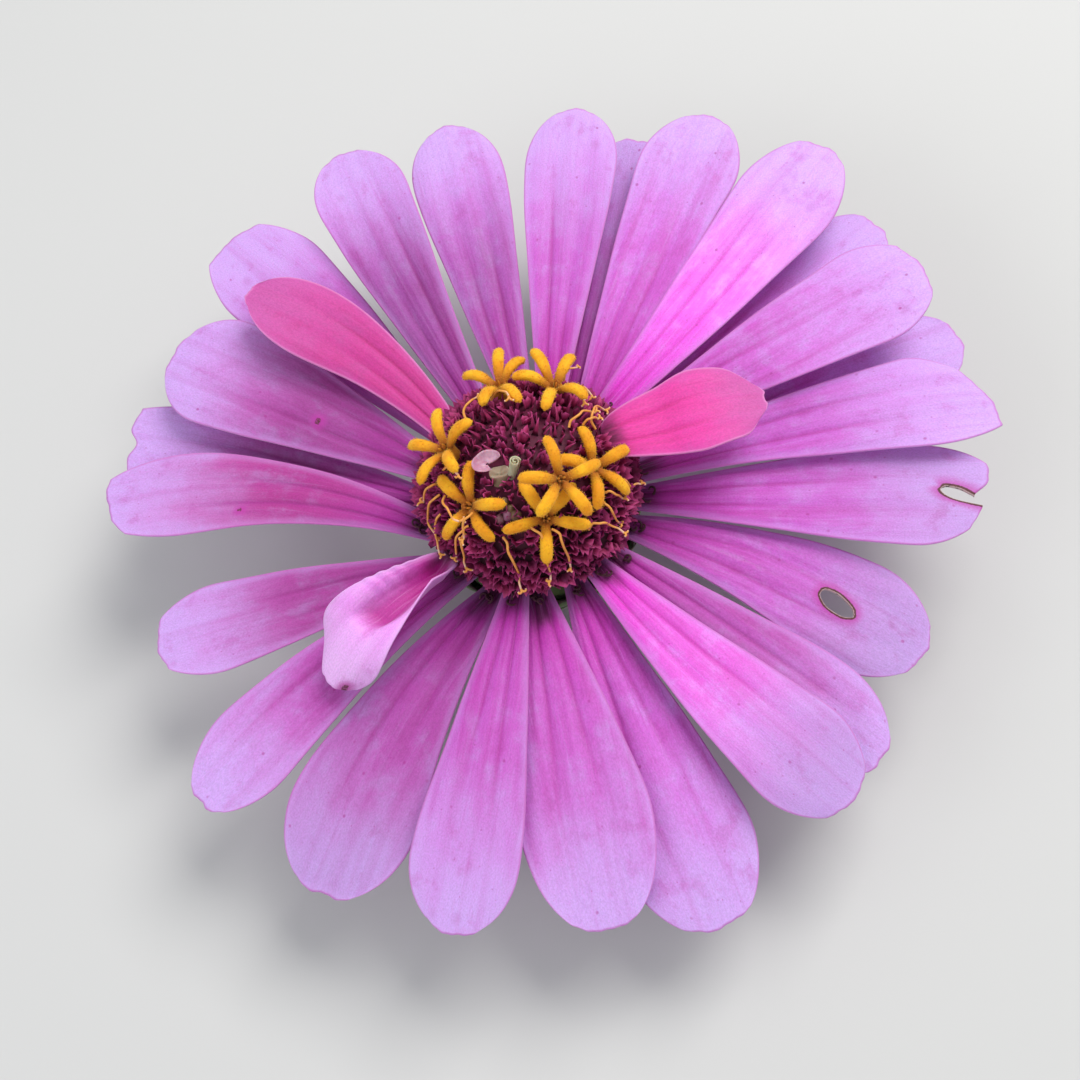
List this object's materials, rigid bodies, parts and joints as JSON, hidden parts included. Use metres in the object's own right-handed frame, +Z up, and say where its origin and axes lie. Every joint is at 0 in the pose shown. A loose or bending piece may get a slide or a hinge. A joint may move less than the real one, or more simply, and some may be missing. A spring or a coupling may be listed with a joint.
{
  "type": "zinnia flower",
  "caption": "Open zinnia flower head with layered pink-lilac ray petals, a domed crimson chaffy centre and golden star florets, picked just below its green cup.",
  "frame": {"origin": "middle of the flat cut face under the stalk, which rests on z = 0", "axes": "+Z up along the stalk through the middle of the head; -Y towards the side that the picture looks from, +X to that side's right"},
  "size_m": [0.0898, 0.0914, 0.0311],
  "materials": {
    "stalk_skin": "satin living stalk skin, finely ribbed and hairy, pale moist pith on the cut",
    "bract_green": "matt living bract, veined, with dark thin margins",
    "ray_petal": "velvety satin petal, lilac-pink, darker towards the base, lengthwise grooves and fine speckles",
    "young_petal": "velvety satin petal, hot pink, paler at its edges",
    "chaff": "matt fringed scales, crimson to maroon",
    "star_gold": "velvety golden floret lobes with an orange-brown throat",
    "young_pink": "satin pale pink young blade on a greenish claw",
    "young_green": "satin pale green rolled blade"
  },
  "bodies": {
    "root": {"cut_stalk": "stalk_skin", "bract_cup": "bract_green", "ray_01": "ray_petal", "ray_02": "ray_petal", "ray_03": "ray_petal", "ray_04": "ray_petal", "ray_05": "ray_petal", "ray_06": "ray_petal", "ray_07": "ray_petal", "ray_08": "ray_petal", "ray_09": "ray_petal", "ray_10": "ray_petal", "ray_11": "ray_petal", "ray_12": "ray_petal", "ray_13": "ray_petal", "ray_14": "ray_petal", "ray_15": "ray_petal", "ray_16": "ray_petal", "ray_17": "ray_petal", "ray_18": "ray_petal", "ray_19": "ray_petal", "ray_20": "ray_petal", "ray_21": "ray_petal", "ray_22": "ray_petal", "ray_23": "ray_petal", "ray_24": "ray_petal", "young_ray_1": "young_petal", "young_ray_2": "young_petal", "young_ray_3": "young_petal", "chaffy_head": "chaff", "star_floret_1": "star_gold", "star_floret_2": "star_gold", "star_floret_3": "star_gold", "star_floret_4": "star_gold", "star_floret_5": "star_gold", "star_floret_6": "star_gold", "star_floret_7": "star_gold", "young_floret_1": "young_pink", "young_floret_2": "young_green"}
  },
  "joints": []
}
